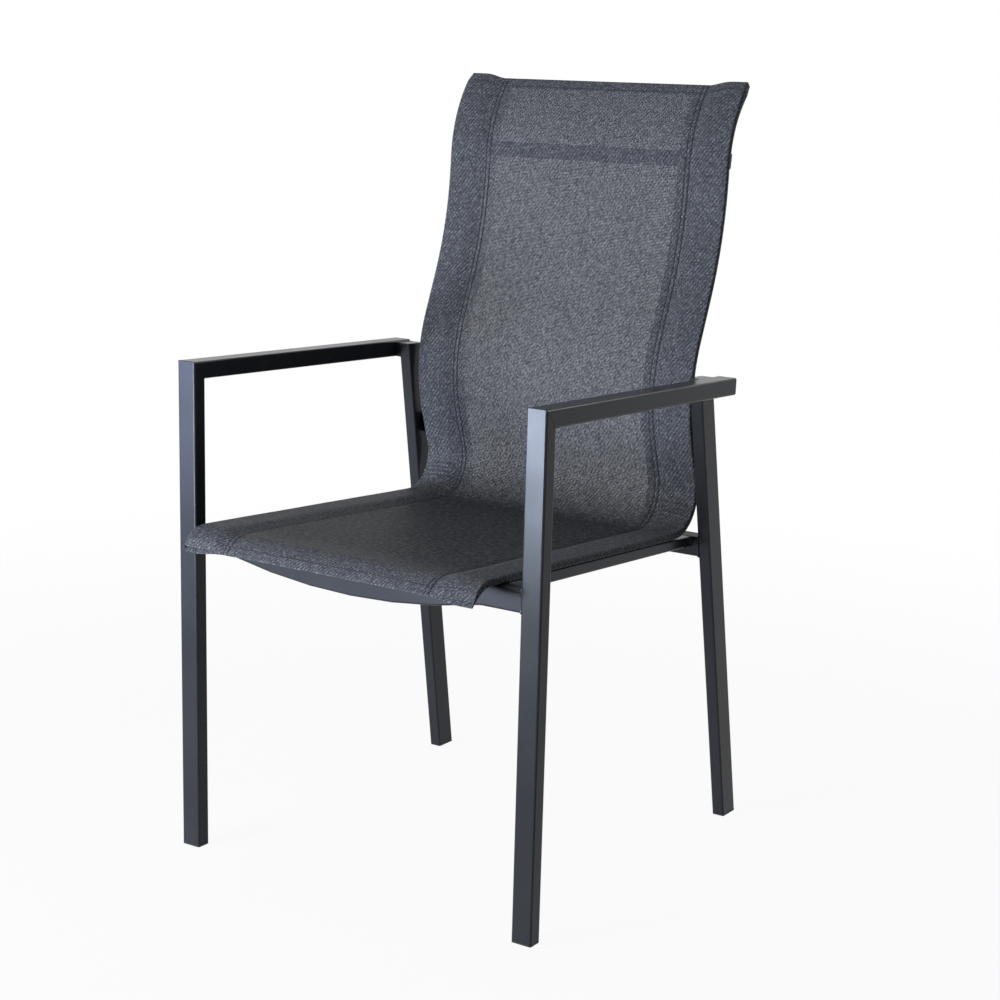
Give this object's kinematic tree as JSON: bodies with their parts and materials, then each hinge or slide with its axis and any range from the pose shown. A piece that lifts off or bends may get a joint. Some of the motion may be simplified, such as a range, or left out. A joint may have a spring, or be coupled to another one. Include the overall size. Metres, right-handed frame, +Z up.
{
  "type": "sling patio chair",
  "caption": "High-back patio armchair: a welded frame of rectangular aluminium tube and one mesh cloth sling for seat and back, carried on two bent flat rails.",
  "frame": {"origin": "on the floor under the middle of the chair's bounding box", "axes": "+Z up, the sitter faces -Y, +X towards the sitter's left; x = 0 is the chair's plane of symmetry"},
  "size_m": [0.563, 0.6358, 1.025],
  "materials": {
    "powder_coat": "satin",
    "black_plastic": "matte",
    "screw_steel": "satin",
    "mesh_cloth": "matte"
  },
  "bodies": {
    "root": {"front_leg_left": "powder_coat", "front_leg_right": "powder_coat", "armrest_left": "powder_coat", "armrest_right": "powder_coat", "armrest_end_cap_left": "black_plastic", "armrest_end_cap_right": "black_plastic", "rear_leg_left": "powder_coat", "rear_leg_right": "powder_coat", "rear_leg_top_cap_left": "powder_coat", "rear_leg_top_cap_right": "powder_coat", "arm_joint_block_left": "powder_coat", "arm_joint_block_right": "powder_coat", "foot_glide_front_left": "black_plastic", "foot_glide_front_right": "black_plastic", "foot_glide_rear_left": "black_plastic", "foot_glide_rear_right": "black_plastic", "front_crossbar": "powder_coat", "rear_crossbar": "powder_coat", "seat_rail_left": "powder_coat", "seat_rail_right": "powder_coat", "sling_rail_left": "powder_coat", "sling_rail_right": "powder_coat", "sling_rail_plug_front_left": "black_plastic", "sling_rail_plug_front_right": "black_plastic", "sling_rail_plug_top_left": "black_plastic", "sling_rail_plug_top_right": "black_plastic", "sling": "mesh_cloth", "back_crossbar": "powder_coat", "back_crossbar_cap_left": "black_plastic", "back_crossbar_cap_right": "black_plastic", "back_crossbar_screw_left_1": "screw_steel", "back_crossbar_screw_left_2": "screw_steel", "back_crossbar_screw_right_1": "screw_steel", "back_crossbar_screw_right_2": "screw_steel", "back_bracket_left": "powder_coat", "back_bracket_right": "powder_coat", "bracket_screw_left_1": "screw_steel", "bracket_screw_left_2": "screw_steel", "bracket_screw_right_1": "screw_steel", "bracket_screw_right_2": "screw_steel", "seat_bolt_front_left": "screw_steel", "seat_bolt_front_right": "screw_steel", "seat_bolt_rear_left": "screw_steel", "seat_bolt_rear_right": "screw_steel"}
  },
  "joints": []
}
